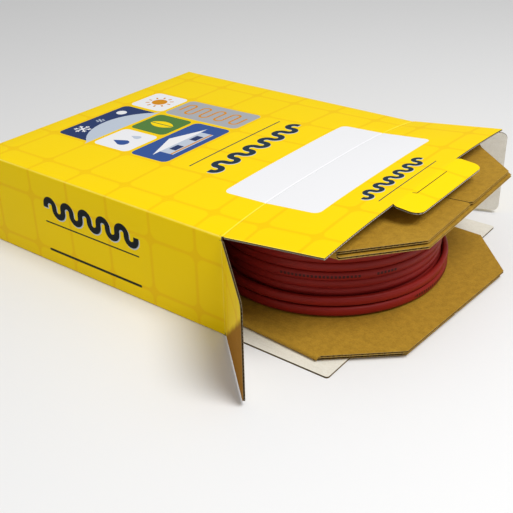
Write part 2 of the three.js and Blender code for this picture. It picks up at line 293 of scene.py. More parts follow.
# Outlines on the blank
def arc(cx, cy, radius, start, end, steps):
    """Points of an arc, angles in degrees."""
    angles = [math.radians(lerp(start, end, i / steps)) for i in range(steps + 1)]
    return [(cx + radius * math.cos(a), cy + radius * math.sin(a)) for a in angles]


def circle(cx, cy, radius, steps=28):
    return arc(cx, cy, radius, 0, 360 * (steps - 1) / steps, steps - 1)


def rectangle(low_x, low_y, high_x, high_y):
    return [(low_x, low_y), (high_x, low_y), (high_x, high_y), (low_x, high_y)]


def rounded(low_x, low_y, high_x, high_y, radius, steps=6):
    return (
        arc(high_x - radius, low_y + radius, radius, -90, 0, steps)
        + arc(high_x - radius, high_y - radius, radius, 0, 90, steps)
        + arc(low_x + radius, high_y - radius, radius, 90, 180, steps)
        + arc(low_x + radius, low_y + radius, radius, 180, 270, steps)
    )


def tongue(start, end, low, high, radius, steps):
    """A flap from its crease at start to its free edge at end, which has two round corners."""
    return (
        [(start, low)]
        + arc(end - radius, low + radius, radius, -90, 0, steps)
        + arc(end - radius, high - radius, radius, 0, 90, steps)
        + [(start, high)]
    )


def bar(x0, y0, x1, y1, width):
    """A straight stroke with square ends."""
    length = math.hypot(x1 - x0, y1 - y0)
    nx = -(y1 - y0) / length * width / 2
    ny = (x1 - x0) / length * width / 2
    return [(x0 + nx, y0 + ny), (x0 - nx, y0 - ny), (x1 - nx, y1 - ny), (x1 + nx, y1 + ny)]


def inside(points, loop):
    """Which of the points lie in a closed outline."""
    x, y = points[:, 0], points[:, 1]
    found = np.zeros(len(points), bool)
    for (x0, y0), (x1, y1) in zip(loop, loop[1:] + loop[:1]):
        if y0 == y1:
            continue
        crosses = (y0 > y) != (y1 > y)
        found ^= crosses & (x < (x1 - x0) * (y - y0) / (y1 - y0) + x0)
    return found


def net(outline, designs=(), holes=(), lines_u=(), lines_s=()):
    """Triangles of a flat outline, cut along its designs. A design is a pair of outline and slot,
    and a later one lies over an earlier one. Returns points, triangles and each triangle's slot."""
    points, edges = [], []

    def add(loop, closed=True):
        start = len(points)
        points.extend(Vector(p) for p in loop)
        count = len(loop)
        sides = count if closed else count - 1
        edges.extend((start + i, start + (i + 1) % count) for i in range(sides))

    add(outline)
    for loop, _ in designs:
        add(loop)
    for loop in holes:
        add(loop)
    low = np.min(outline, axis=0)
    high = np.max(outline, axis=0)
    for u in lines_u:
        if low[0] < u < high[0]:
            add([(u, low[1]), (u, high[1])], closed=False)
    for s in lines_s:
        if low[1] < s < high[1]:
            add([(low[0], s), (high[0], s)], closed=False)
    flat, _, triangles, *_ = delaunay_2d_cdt(points, edges, [], 0, 1e-5)
    corners = np.array([tuple(p) for p in flat])
    middles = corners[np.array(triangles)].mean(axis=1)
    kept = inside(middles, outline)
    for loop in holes:
        kept &= ~inside(middles, loop)
    slots = np.zeros(len(triangles), int)
    for loop, slot in designs:
        slots[inside(middles, loop)] = slot
    chosen = np.flatnonzero(kept)
    return corners, [tuple(triangles[i]) for i in chosen], [int(slots[i]) for i in chosen]


# Pieces
def in_scene(name, data):
    """The object that shows a mesh, a lamp or a camera."""
    thing = bpy.data.objects.new(name, data)
    bpy.context.scene.collection.objects.link(thing)
    return thing


class Piece:
    """Collects closed shells, then makes them one object."""

    def __init__(self, name, materials, slot):
        self.name = name
        self.materials = materials
        self.slot = slot
        self.points = []
        self.flat = []
        self.faces = []
        self.face_slots = []

    def add(self, points, faces, slots, flat):
        start = len(self.points)
        self.points.extend(points)
        self.flat.extend(flat)
        self.faces.extend(tuple(start + i for i in face) for face in faces)
        self.face_slots.extend(slots)

    def shell(self, cut, place, top, bottom, under, rim):
        """A sheet between two depths. under and rim are the slots of its back and its cut edge."""
        corners, triangles, slots = cut
        used = sorted({i for triangle in triangles for i in triangle})
        index = {old: new for new, old in enumerate(used)}
        count = len(used)
        flat = [tuple(corners[i]) for i in used]
        points = [place(u, s, top) for u, s in flat] + [place(u, s, bottom) for u, s in flat]
        front = [tuple(index[i] for i in triangle) for triangle in triangles]
        back = [tuple(count + i for i in reversed(triangle)) for triangle in front]
        sides = {(a, b) for t in front for a, b in zip(t, t[1:] + t[:1])}
        border = sorted(side for side in sides if side[::-1] not in sides)
        walls = [(b, a, count + a, count + b) for a, b in border]
        self.add(
            points,
            front + back + walls,
            slots + [under] * len(back) + [rim] * len(walls),
            flat + flat,
        )

    def flutes(self, spans, place, board, start, end, slot, swap=False):
        """The wavy middle sheet. spans(b) gives the stretch along the flutes at b across them."""
        middle = board / 2
        height = board / 2 - LINER - MEDIUM / 2
        count = max(2, round((end - start) / FLUTE_PITCH * FLUTE_STEPS))
        across = [lerp(start, end, i / count) for i in range(count + 1)]
        waves = [middle + height * math.sin(2 * math.pi * b / FLUTE_PITCH) for b in across]
        points, flat = [], []
        for b, depth in zip(across, waves):
            low, high = spans(b)
            for a, d in ((low, -1), (high, -1), (high, 1), (low, 1)):
                u, s = (b, a) if swap else (a, b)
                points.append(place(u, s, depth + d * MEDIUM / 2))
                flat.append((u, s))
        faces = [(0, 1, 2, 3), tuple(4 * count + i for i in (3, 2, 1, 0))]
        for i in range(count):
            for k in range(4):
                n = (k + 1) % 4
                faces.append((4 * i + k, 4 * i + 4 + k, 4 * i + 4 + n, 4 * i + n))
        self.add(points, faces, [slot] * len(faces), flat)

    def make(self, sharp=35, weld=True):
        mesh = bpy.data.meshes.new(self.name)
        mesh.from_pydata([Vector(p) * MM for p in self.points], [], self.faces)
        for material in self.materials:
            mesh.materials.append(material)
        mesh.polygons.foreach_set("material_index", self.face_slots)
        layer = mesh.uv_layers.new(name="print")
        flat = np.array(self.flat) * MM
        loops = np.zeros(len(mesh.loops), int)
        mesh.loops.foreach_get("vertex_index", loops)
        layer.data.foreach_set("uv", flat[loops].astype(np.float32).ravel())
        work = bmesh.new()
        work.from_mesh(mesh)
        if weld:
            bmesh.ops.remove_doubles(work, verts=work.verts, dist=1e-7)
        bmesh.ops.recalc_face_normals(work, faces=work.faces)
        work.to_mesh(mesh)
        work.free()
        mesh.polygons.foreach_set("use_smooth", [True] * len(mesh.polygons))
        mesh.set_sharp_from_angle(angle=math.radians(sharp))
        thing = in_scene(self.name, mesh)
        return thing


# Materials
class Nodes:
    """A material's node tree, with short calls for the nodes that these materials use."""

    def __init__(self, name):
        self.material = bpy.data.materials.new(name)
        self.material.use_nodes = True
        self.tree = self.material.node_tree
        self.shader = self.tree.nodes["Principled BSDF"]

    def node(self, kind, **values):
        made = self.tree.nodes.new(kind)
        for key, value in values.items():
            setattr(made, key, value)
        return made

    def link(self, source, target):
        self.tree.links.new(source, target)

    def put(self, value, socket):
        if isinstance(value, bpy.types.NodeSocket):
            self.link(value, socket)
        else:
            socket.default_value = value

    def math(self, operation, a, b=0.0):
        made = self.node("ShaderNodeMath", operation=operation)
        for value, socket in zip((a, b), made.inputs):
            self.put(value, socket)
        return made.outputs[0]

    def plus(self, a, b):
        return self.math("ADD", a, b)

    def minus(self, a, b):
        return self.math("SUBTRACT", a, b)

    def times(self, a, b):
        return self.math("MULTIPLY", a, b)

    def less(self, a, b):
        return self.math("LESS_THAN", a, b)

    def apart(self, a, b):
        """How far one value is from another."""
        return self.math("ABSOLUTE", self.minus(a, b))

    def smooth(self, value, low, high):
        """0 below low and 1 above high, with a soft step between."""
        made = self.node("ShaderNodeMapRange", interpolation_type="SMOOTHSTEP")
        for entry, socket in zip((value, low, high), made.inputs):
            self.put(entry, socket)
        return made.outputs[0]

    def mix(self, share, first, second):
        """A colour between two, by a share from 0 to 1."""
        made = self.node("ShaderNodeMix", data_type="RGBA")
        self.put(share, made.inputs[0])
        self.put(first, made.inputs[6])
        self.put(second, made.inputs[7])
        return made.outputs[2]

    def print_place(self):
        """The print map, with u and s of the blank in metres."""
        source = self.node("ShaderNodeUVMap", uv_map="print")
        parts = self.node("ShaderNodeSeparateXYZ")
        self.link(source.outputs[0], parts.inputs[0])
        return source.outputs[0], parts.outputs[0], parts.outputs[1]

    def noise(self, where, scale, detail, stretch=None, rough=0.5):
        if stretch:
            mapping = self.node("ShaderNodeMapping")
            self.link(where, mapping.inputs[0])
            mapping.inputs["Scale"].default_value = stretch
            where = mapping.outputs[0]
        made = self.node("ShaderNodeTexNoise")
        self.link(where, made.inputs["Vector"])
        made.inputs["Scale"].default_value = scale
        made.inputs["Detail"].default_value = detail
        made.inputs["Roughness"].default_value = rough
        return made.outputs[0]

    def bump(self, height, distance, strength):
        made = self.node("ShaderNodeBump")
        made.inputs["Strength"].default_value = strength
        made.inputs["Distance"].default_value = distance
        self.link(height, made.inputs["Height"])
        self.link(made.outputs[0], self.shader.inputs["Normal"])

    def finish(self, base, roughness, specular):
        self.put(base, self.shader.inputs["Base Color"])
        self.put(roughness, self.shader.inputs["Roughness"])
        self.shader.inputs["Specular IOR Level"].default_value = specular
        return self.material


def colour(red, green, blue):
    """A colour given as sRGB values from 0 to 255."""
    def linear(value):
        value /= 255
        return value / 12.92 if value <= 0.04045 else ((value + 0.055) / 1.055) ** 2.4
    return (linear(red), linear(green), linear(blue), 1.0)


# Looks of the print and the boards
PRINT_YELLOW = colour(252, 216, 0)
PRINT_LINE = colour(238, 176, 0)
# The lighter yellow below is the colour of the painted highlight along the folds.
FOLD_HIGHLIGHT_COLOUR = colour(255, 240, 120)
PRINT_DARKENING = 0.93
PRINT_SPECULAR = 0.07
GROUND_LINE_HALF = 0.0018
GROUND_LINE_SPREAD = (-0.0008, 0.0014)
GROUND_LINE_STRENGTH = 0.4
GROUND_CORNER = 0.0065
# The painted highlight along the long folds and the top crease: its width, its strength and how much
# narrower it is at the crease.
FOLD_HIGHLIGHT_SPREAD = (0.0002, 0.0013)
FOLD_HIGHLIGHT_STRENGTH = 0.9
CREASE_HIGHLIGHT_NARROWING = 1.5
PRINT_END_SLOPE = 0.82
PRINT_END_SPREAD = 0.004
BOARD_ROUGHNESS = 0.85

# Marks on the cable, the places and halves of the two strokes as shares of the pitch
MARK_PITCH = 3.213
MARK_START = 0.7602
LONG_MARK = (0.5, 0.01)
SHORT_MARK = (0.5168, 0.003)
MARK_DASH_PITCH = 0.0031
MARK_DASH_SHARE = 0.62
MARK_HALF_HEIGHT = 0.0012
MARK_STRENGTH = 0.85


def washboard(n, s):
    """The flutes that show faintly through the liner, as a height."""
    return n.math("SINE", n.times(s, 2 * math.pi / (FLUTE_PITCH * MM)))


def ground_lines(n, u, s):
    """How much of the line's colour shows on the lines between the ground's rounded squares."""
    offsets = []
    for value, node, pitch in ((u, GROUND_NODE_U, GROUND_PITCH_U), (s, GROUND_NODE_S, GROUND_PITCH_S)):
        cells = n.math("DIVIDE", n.minus(value, node * MM), pitch * MM)
        reach = n.times(n.apart(n.math("FRACT", cells), 0.5), pitch * MM)
        edge = pitch * MM / 2 - GROUND_LINE_HALF - GROUND_CORNER
        offsets.append(n.math("MAXIMUM", n.minus(reach, edge), 0.0))
    squares = [n.times(value, value) for value in offsets]
    distance = n.minus(n.math("SQRT", n.plus(*squares)), GROUND_CORNER)
    return n.times(n.smooth(distance, *GROUND_LINE_SPREAD), GROUND_LINE_STRENGTH)


def painted_fold_highlight(n, where, u, s):
    """Painted highlight: the ink is lightened in a band along the long folds and the top crease, where
    the rounded folds catch the light.
    """
    from_fold = n.apart(n.math("ABSOLUTE", s), HALF_WIDTH * MM)
    from_crease = n.times(n.apart(u, MOUTH * MM), CREASE_HIGHLIGHT_NARROWING)
    nearest = n.math("MINIMUM", from_fold, from_crease)
    band = n.minus(1.0, n.smooth(nearest, *FOLD_HIGHLIGHT_SPREAD))
    return n.times(band, n.times(n.noise(where, 90, 3), FOLD_HIGHLIGHT_STRENGTH))


def printed(name, ink, line=None, roughness=0.5):
    """Ink on a smooth liner, with the flutes showing faintly through it and, on the lined ground, a
    painted highlight along the folds.
    """
    n = Nodes(name)
    where, u, s = n.print_place()
    cloud = n.noise(where, 14, 2)
    speck = n.noise(where, 1400, 2)
    base = ink
    if line:
        base = n.mix(ground_lines(n, u, s), ink, line)
        # Painted highlight along the long folds and the top crease.
        base = n.mix(painted_fold_highlight(n, where, u, s), base, FOLD_HIGHLIGHT_COLOUR)
    darker = tuple(c * PRINT_DARKENING for c in ink[:3]) + (1.0,)
    base = n.mix(n.times(cloud, 0.25), base, darker)
    n.bump(n.plus(n.times(washboard(n, s), 0.5), n.times(speck, 0.2)), 0.00004, 0.8)
    rough = n.plus(n.times(cloud, 0.12), roughness - 0.06)
    return n.finish(base, rough, PRINT_SPECULAR)


def near_dust_flap_print():
    """The print ends along a diagonal, below which the flap's liner is bare kraft."""
    n = Nodes("print_to_kraft")
    where, u, s = n.print_place()
    along = n.minus(u, MOUTH * MM)
    up = n.plus(s, (HALF_WIDTH + HEIGHT) * MM)
    ragged = n.times(n.minus(n.noise(where, 60, 2), 0.5), PRINT_END_SPREAD)
    over = n.plus(n.minus(up, n.times(along, PRINT_END_SLOPE)), ragged)
    share = n.smooth(over, -PRINT_END_SPREAD, PRINT_END_SPREAD)
    lined = n.mix(ground_lines(n, u, s), PRINT_YELLOW, PRINT_LINE)
    fibre = n.noise(where, 300, 4, (0.3, 1.5, 1))
    bare = n.mix(fibre, colour(150, 98, 22), colour(176, 124, 40))
    n.bump(n.plus(washboard(n, s), fibre), 0.00003, 0.7)
    rough = n.minus(BOARD_ROUGHNESS, n.times(share, 0.35))
    return n.finish(n.mix(share, bare, lined), rough, 0.08)


def bare_board(name, dark, light, mottle=0.35):
    """Unprinted liner: fine mottling, fibres along the flutes and a fine tooth."""
    n = Nodes(name)
    where, _, s = n.print_place()
    blotch = n.smooth(n.noise(where, 170, 4, rough=0.7), 0.32, 0.68)
    speck = n.smooth(n.noise(where, 800, 4, (0.8, 1.2, 1), rough=0.8), 0.2, 0.8)
    tooth = n.noise(where, 2600, 2)
    tone = n.plus(n.times(blotch, mottle), n.times(speck, 1 - mottle))
    n.bump(n.plus(n.times(washboard(n, s), 0.4), n.plus(speck, tooth)), 0.00006, 0.8)
    return n.finish(n.mix(tone, dark, light), BOARD_ROUGHNESS, 0.25)


def cable_jacket():
    """Soft dark red plastic, with a row of plain marks at a steady spacing."""
    n = Nodes("cable_jacket")
    where, along, around = n.print_place()
    wear = n.noise(where, 30, 3)
    grain = n.noise(where, 2500, 2)
    period = n.math("FRACT", n.plus(n.math("DIVIDE", along, MARK_PITCH), MARK_START))
    strokes = [n.less(n.apart(period, place), half) for place, half in (LONG_MARK, SHORT_MARK)]
    mark = n.math("MAXIMUM", *strokes)
    dash = n.less(n.math("FRACT", n.math("DIVIDE", along, MARK_DASH_PITCH)), MARK_DASH_SHARE)
    band = n.less(n.math("ABSOLUTE", around), MARK_HALF_HEIGHT)
    ink = n.times(n.times(mark, dash), band)
    red = n.mix(wear, colour(122, 24, 21), colour(152, 34, 27))
    painted = n.mix(n.times(ink, MARK_STRENGTH), red, colour(28, 10, 12))
    n.bump(grain, 0.00003, 0.5)
    return n.finish(painted, n.plus(n.times(wear, 0.15), 0.38), 0.2)


def solid_board(name, dark, light):
    """For CAD nodes without a print map: the same board, placed by object coordinates."""
    n = Nodes(name)
    where = n.node("ShaderNodeTexCoord").outputs["Object"]
    blotch = n.noise(where, 110, 3)
    fibre = n.noise(where, 900, 3)
    tone = n.plus(n.times(blotch, 0.6), n.times(fibre, 0.4))
    n.bump(fibre, 0.00005, 0.7)
    return n.finish(n.mix(tone, dark, light), BOARD_ROUGHNESS, 0.3)


yellow = printed("print_yellow", PRINT_YELLOW, PRINT_LINE)
white = printed("print_white", colour(236, 236, 238), roughness=0.6)
black = printed("print_black", colour(18, 26, 30))
navy = printed("print_navy", colour(34, 52, 66))
pale_blue = printed("print_pale_blue", colour(190, 200, 214))
blue = printed("print_blue", colour(52, 84, 150))
deep_blue = printed("print_deep_blue", colour(40, 58, 104))
grey = printed("print_grey", colour(170, 172, 176))
green = printed("print_green", colour(84, 126, 60))
orange = printed("print_orange", colour(214, 140, 20))
cream = bare_board("inside_white", colour(216, 211, 196), colour(236, 233, 222), mottle=0.3)
liner_edge = bare_board("liner_edge", colour(96, 80, 54), colour(140, 122, 88))
medium = bare_board("fluting", colour(66, 48, 22), colour(104, 78, 40))
kraft = bare_board("kraft", colour(142, 106, 26), colour(188, 146, 44))
kraft_edge = bare_board("kraft_edge", colour(160, 132, 70), colour(196, 168, 104))
jacket = cable_jacket()

PRINTS = [yellow, white, black, navy, pale_blue, blue, deep_blue, grey, green, orange]
YELLOW, WHITE, BLACK, NAVY, PALE_BLUE, BLUE, DEEP_BLUE, GREY, GREEN, ORANGE = range(len(PRINTS))
BOARD_MATERIALS = PRINTS + [cream, liner_edge, medium]
INSIDE, EDGE, MIDDLE = (len(PRINTS) + i for i in range(3))


# Print designs
def moved(loops, du, ds):
    return [[(u + du, s + ds) for u, s in loop] for loop in loops]


def swapped(loops):
    """u and s change places."""
    return [[(b, a) for a, b in loop] for loop in loops]


def meander(length, height, bars, stroke):
    """A serpentine like one run of a heating cable, centred on the origin and running along s."""
    loops = []
    step = (length - stroke) / (bars - 1)
    inner = (step - stroke) / 2
    low = -height / 2 + inner + stroke
    high = -low
    for i in range(bars):
        s = -length / 2 + stroke / 2 + i * step
        loops.append(rectangle(low, s - stroke / 2, high, s + stroke / 2))
        if i == bars - 1:
            continue
        middle = s + step / 2
        end, start, stop = (low, 270, 90) if i % 2 else (high, -90, 90)
        outer = arc(end, middle, inner + stroke, start, stop, 12)
        loops.append(outer + arc(end, middle, inner, stop, start, 12))
    return loops


def emblem(u, s, length, height, bars, ink, turned=False):
    """The serpentine with a pale offset edge behind it."""
    loops = meander(length, height, bars, EMBLEM_STROKE * height / 20)
    if turned:
        loops = swapped(loops)
    behind = [(loop, PALE_BLUE) for loop in moved(loops, u + EMBLEM_EDGE, s - EMBLEM_EDGE)]
    return behind + [(loop, ink) for loop in moved(loops, u, s)]


def tile_low(column, row):
    """The low corner of a picture tile, by its cell of the ground."""
    u = GROUND_NODE_U + (column - 3) * GROUND_PITCH_U + (GROUND_PITCH_U - TILE) / 2
    s = GROUND_NODE_S + (row + 1) * GROUND_PITCH_S + (GROUND_PITCH_S - TILE) / 2
    return u, s


def tile(column, row, columns, rows):
    u, s = tile_low(column, row)
    high_u = u + TILE + (columns - 1) * GROUND_PITCH_U
    high_s = s + TILE + (rows - 1) * GROUND_PITCH_S
    return rounded(u, s, high_u, high_s, TILE_CORNER)


def ray(u, s, angle, start, end, width):
    """A stroke on a line through a centre, between two distances from it."""
    c, d = math.cos(angle), math.sin(angle)
    return bar(u + start * c, s + start * d, u + end * c, s + end * d, width)


def snowflake(u, s, size):
    angles = [math.radians(60 * k + 30) for k in range(6)]
    loops = [ray(u, s, a, -size, size, size * 0.16) for a in angles[:3]]
    for a in angles:
        root_u = u + size * 0.55 * math.cos(a)
        root_s = s + size * 0.55 * math.sin(a)
        loops += [ray(root_u, root_s, a + turn, 0, size * 0.36, size * 0.13) for turn in (-0.7, 0.7)]
    return loops


def sun(u, s, size):
    angles = [math.radians(36 * k) for k in range(10)]
    rays = [ray(u, s, a, size * 0.72, size, size * 0.14) for a in angles]
    return [circle(u, s, size * 0.56)] + rays


def drop(u, s, size):
    """A water drop that points to lower u."""
    round_end = arc(u + size * 0.25, s, size * 0.55, -115, 115, 16)
    return [round_end + [(u - size * 0.95, s)]]


def leaf(u, s, size):
    upper = arc(u, s - size * 0.75, size * 1.25, 37, 143, 12)
    lower = arc(u, s + size * 0.75, size * 1.25, 217, 323, 12)
    return [upper + lower[1:-1]]


def picture_tiles():
    """Six picture tiles on the ground's squares, each a plain pictogram of heating and weather."""
    designs = []
    middle = TILE / 2

    def paint(loops, slot):
        designs.extend((loop, slot) for loop in loops)

    def start(column, row, ground, columns=1, rows=1):
        paint([tile(column, row, columns, rows)], ground)
        return tile_low(column, row)

    u, s = start(0, 0, DEEP_BLUE, rows=2)
    hill = arc(u + 78, s + 47, 60, 118, 242, 16)
    paint([[(min(a, u + TILE), b) for a, b in hill]], PALE_BLUE)
    paint([circle(u + 12, s + 76, 5.5)], WHITE)
    paint(snowflake(u + 14, s + 20, 9), WHITE)
    paint(snowflake(u + 11, s + 47, 5), PALE_BLUE)

    u, s = start(0, 2, WHITE)
    paint(sun(u + middle, s + middle, 15), ORANGE)

    u, s = start(1, 0, WHITE)
    paint(drop(u + middle, s + 16, 11), BLUE)
    paint(drop(u + 26, s + 33, 7), PALE_BLUE)

    u, s = start(1, 1, GREEN)
    paint(leaf(u + middle, s + 23, 15), YELLOW)
    paint([bar(u + 6, s + 23, u + 39, s + 23, 1.4)], GREEN)

    u, s = start(1, 2, GREY, columns=2)
    paint(moved(swapped(meander(80, 27, 9, 2.4)), u + 47, s + middle), ORANGE)

    u, s = start(2, 0, BLUE, rows=2)
    paint([[(u + 22, s + 8), (u + 22, s + 86), (u + 7, s + 47)]], WHITE)
    paint([rectangle(u + 22, s + 18, u + 38, s + 76)], PALE_BLUE)
    paint([rectangle(u + 25, s + low, u + 33, s + low + 12) for low in (27, 55)], DEEP_BLUE)
    paint([bar(u + 35.5, s + 18, u + 35.5, s + 76, 2)], ORANGE)
    return designs


LABEL = rounded(104.5, -94.5, 198, 89.5, LABEL_CORNER)
TOP_PRINT = (
    picture_tiles()
    + emblem(67, 0, 140, 20, 13, NAVY)
    + [(rounded(43.5, -68, 45, 68, 0.7, 2), NAVY), (LABEL, WHITE)]
)
NEAR_WALL_PRINT = (
    emblem(-1, -181, 118, 20, 11, BLACK, turned=True)
    + [(rounded(-60, -197.6, 57, -196.2, 0.6, 2), BLACK)]
    + [(rounded(-60, -227, 57, -224.5, 1.2, 3), BLACK)]
)
FAR_WALL_PRINT = [([(u, -s) for u, s in loop], slot) for loop, slot in NEAR_WALL_PRINT]
FLAP_PRINT = [(LABEL, WHITE)] + emblem(214, -8, 100, 14, 13, NAVY) + [
    (rounded(227.5, -56, 228.5, 40, 0.4, 2), NAVY)
]


def steps(low, high, size):
    """Evenly spaced places between two ends, about size apart, without the ends."""
    count = max(1, round((high - low) / size))
    return [lerp(low, high, i / count) for i in range(1, count)]


# Carton
def mouth_corners():
    """Stretches of the blank between the flaps, where the walls run on to the mouth's edge."""
    low = HALF_WIDTH + HEIGHT - DUST_FLAP_LOW + MOUTH_LIP_GAP
    high = HALF_WIDTH + HEIGHT - DUST_FLAP_HIGH - MOUTH_LIP_GAP
    top = HALF_WIDTH - MOUTH_LIP_TOP_GAP
    fold = HALF_WIDTH + HEIGHT
    return [(-fold - MOUTH_LIP_FOLD, -low), (-high, -top), (top, high), (low, fold)]


def carton_shell():
    """The four walls and the closed end's outer flap, folded from one blank."""
    piece = Piece("carton_shell", BOARD_MATERIALS, "printed_board")
    end = MOUTH - CREASE_HALF
    rear_edge = REAR + FOLD_RADIUS - (HEIGHT - FOLD_RADIUS) - FOLD_RADIUS * math.pi / 2
    rear_edge += REAR_FLAP_END_GAP
    side = HALF_WIDTH - REAR_FLAP_SIDE_GAP
    lip = MOUTH - MOUTH_LIP
    mouth_edge = [(end, BLANK_START)]
    for low, high in mouth_corners():
        mouth_edge += [(end, low), (lip, low), (lip, high), (end, high)]
    outline = [
        (SLEEVE_REAR, BLANK_START),
        *mouth_edge[:-1],
        (SLEEVE_REAR, BLANK_END),
        (SLEEVE_REAR, side),
        (rear_edge, side),
        (rear_edge, -side),
        (SLEEVE_REAR, -side),
    ]
    lines_s = steps(-HALF_WIDTH, HALF_WIDTH, 12)
    for corner, _, _ in WALL_CORNERS:
        lines_s += [corner + FOLD_RADIUS * k for k in (-1, -0.5, 0, 0.5, 1)]
    bend = REAR + FOLD_RADIUS
    lines_u = steps(SLEEVE_REAR, end, 16) + [bend - FOLD_RADIUS * math.pi / 8 * k for k in range(5)]
    designs = TOP_PRINT + NEAR_WALL_PRINT + FAR_WALL_PRINT
    cut = net(outline, designs, lines_u=lines_u, lines_s=lines_s)
    piece.shell(cut, sleeve_place, 0, BOARD, INSIDE, EDGE)
    made = piece.make()
    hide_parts("carton_sleeve", "rear_top_flap")
    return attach(made, "carton")


def fold_strip(name, before, after, middle, half, s_low, s_high, designs=(), groove=CREASE_DEPTH):
    """A strip of board across a fold, in steps fine enough to bend."""
    piece = Piece(name, BOARD_MATERIALS, "printed_board")
    outline = rectangle(middle - half, s_low, middle + half, s_high)
    lines_u = [middle + half * k / 8 for k in range(-7, 8)]
    cut = net(outline, designs, lines_u=lines_u, lines_s=steps(s_low, s_high, 6))
    piece.shell(cut, crease_place(before, after, middle, half, groove), 0, BOARD, INSIDE, EDGE)
    return piece.make(sharp=60)


def board(name, outline, place, spans, start, end, designs=(), holes=(), lines_u=(), lines_s=(),
          slot="printed_board"):
    """Two liners with the fluted sheet between them. spans and the two ends are those of the flutes."""
    piece = Piece(name, BOARD_MATERIALS, slot)
    corners, triangles, slots = net(outline, designs, holes, lines_u, lines_s)
    piece.shell((corners, triangles, slots), place, 0, LINER, EDGE, EDGE)
    plain = (corners, triangles, [INSIDE] * len(triangles))
    piece.shell(plain, place, BOARD - LINER, BOARD, INSIDE, EDGE)
    piece.flutes(spans, place, BOARD, start, end, MIDDLE)
    return piece


def top_flap():
    start = MOUTH + CREASE_HALF
    end = TOP_FLAP_END_U
    root = end - TAB_CREASE_HALF
    side = HALF_WIDTH - TOP_FLAP_SIDE_GAP
    tab_low = TAB_OFFSET - TAB_ROOT_HALF
    tab_high = TAB_OFFSET + TAB_ROOT_HALF
    outline = [
        (start, -side),
        (end, -side),
        (end, tab_low),
        (root, tab_low),
        (root, tab_high),
        (end, tab_high),
        (end, side),
        (start, side),
    ]

    def spans(s):
        edge = root if tab_low < s < tab_high else end
        return start + FLUTE_ROOT_INSET, edge - FLUTE_TIP_INSET

    piece = board("top_flap_board", outline, top_flap_place, spans, -side, side, FLAP_PRINT,
                  lines_u=steps(start, end, 30), lines_s=steps(-side, side, 12))
    made = piece.make()
    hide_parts("top_flap")
    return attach(made, "top_flap")


def top_crease():
    side = HALF_WIDTH - TOP_CREASE_SIDE_GAP
    made = fold_strip("top_flap_crease_strip", sleeve_place, top_flap_place, MOUTH, CREASE_HALF,
                      -side, side, [(LABEL, WHITE)])
    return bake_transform(made)


def tab_outline(start):
    """The tab from start past its root line. It flares a little, then ends in round corners."""
    base = TOP_FLAP_END_U
    tip = base + TAB_LENGTH
    side = TAB_ROOT_HALF + TAB_FLARE
    inner = side - TAB_CORNER
    root = TAB_ROOT_HALF + TAB_FLARE * start / TAB_FLARE_LENGTH
    half = [(base + start, root), (base + TAB_FLARE_LENGTH, side)]
    half += arc(tip - TAB_CORNER, inner, TAB_CORNER, 90, 0, 8)
    low = [(u, TAB_OFFSET - s) for u, s in half]
    high = [(u, TAB_OFFSET + s) for u, s in reversed(half)]
    return low + high


def span_of(outline):
    """For an outline that flutes cross once: where it starts and ends at each s."""
    def spans(s):
        crossings = []
        for (u0, s0), (u1, s1) in zip(outline, outline[1:] + outline[:1]):
            if min(s0, s1) <= s <= max(s0, s1) and s0 != s1:
                crossings.append(lerp(u0, u1, (s - s0) / (s1 - s0)))
        return min(crossings) + FLUTE_ROOT_INSET, max(crossings) - FLUTE_TIP_INSET
    return spans


def tuck_tab():
    outline = tab_outline(TAB_CREASE_HALF)
    slit_u = TOP_FLAP_END_U + SLIT_FROM_ROOT
    low = TAB_OFFSET - SLIT_LENGTH / 2
    high = TAB_OFFSET + SLIT_LENGTH / 2
    slit = [
        (slit_u, high),
        (slit_u, low + SLIT_WIDTH),
        (slit_u - 3, low - 1.2),
        (slit_u - 2.4, low - 1.8),
        (slit_u + SLIT_WIDTH, low),
        (slit_u + SLIT_WIDTH, high),
    ]
    low_s = min(s for _, s in outline) + FLUTE_SIDE_INSET
    high_s = max(s for _, s in outline) - FLUTE_SIDE_INSET
    piece = board("tuck_tab_board", outline, tab_place, span_of(outline), low_s, high_s, holes=[slit])
    made = piece.make()
    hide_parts("tuck_tab")
    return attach(made, "tuck_tab")


def tab_crease():
    """From the bowed free edge of the flap to the flat tab."""
    low = TAB_OFFSET - TAB_ROOT_HALF + TAB_CREASE_SIDE_GAP
    high = TAB_OFFSET + TAB_ROOT_HALF - TAB_CREASE_SIDE_GAP
    made = fold_strip("tuck_tab_crease_strip", top_flap_place, tab_place, TOP_FLAP_END_U,
                      TAB_CREASE_HALF, low, high, groove=TAB_CREASE_DEPTH)
    _, _, z = tab_place(TOP_FLAP_END_U, 0, 0)
    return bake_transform(made)


def dust_flap(name, node, body, side, swing):
    """A side wall's flap and its crease. The near one's print runs out into bare kraft."""
    place = dust_flap_place(side, swing)
    flat_low = HALF_WIDTH + HEIGHT - DUST_FLAP_HIGH
    flat_high = HALF_WIDTH + HEIGHT - DUST_FLAP_LOW
    flat = tongue(MOUTH + CREASE_HALF, MOUTH + DUST_FLAP_LENGTH, flat_low, flat_high,
                  DUST_FLAP_CORNER, 6)
    outline = [(u, side * s) for u, s in flat]
    low, high = sorted((side * flat_low, side * flat_high))
    piece = board(name, outline, place, span_of(outline), low + DUST_FLAP_FLUTE_INSET,
                  high - DUST_FLAP_FLUTE_INSET, slot="white_board")
    crease = fold_strip(name.replace("board", "crease_strip"), sleeve_place, place, MOUTH,
                        CREASE_HALF, low, high)
    if side < 0:
        piece.materials = [near_dust_flap_print()] + BOARD_MATERIALS[1:]
    made = piece.make()
    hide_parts(node)
    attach(made, body)
    flap = Vector(place(MOUTH + CREASE_HALF, side * (HALF_WIDTH + HEIGHT / 2), 0)) * MM
    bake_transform(crease)
    return made


